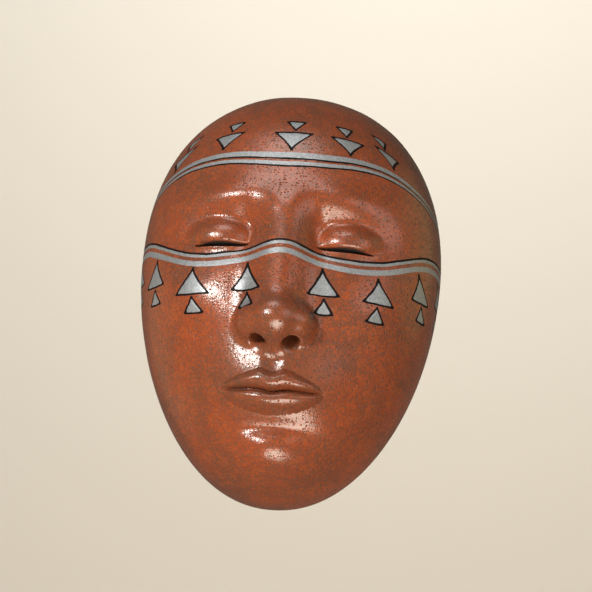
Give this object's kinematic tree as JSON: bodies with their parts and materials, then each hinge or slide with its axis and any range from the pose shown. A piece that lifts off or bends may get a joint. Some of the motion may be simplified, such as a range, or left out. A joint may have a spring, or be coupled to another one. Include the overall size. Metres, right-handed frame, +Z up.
{
  "type": "ceramic wall mask",
  "caption": "Hollow fired-clay wall mask with a calm closed-eyed face, painted bands and triangles, open at the back, hung on a nail by a notch in its top wall.",
  "frame": {"origin": "on the flat back rim at the top of the mask, midway between the hanging notch and the outer edge", "axes": "+Z up from chin to crown, +Y back towards the wall, +X to the right of a person who looks at the mask"},
  "size_m": [0.1884, 0.1004, 0.265],
  "materials": {
    "burnished_clay": "burnished semi-gloss red-brown clay, with grey-silver bands and triangles outlined in black"
  },
  "bodies": {
    "root": {"mask_shell": "burnished_clay"}
  },
  "joints": []
}
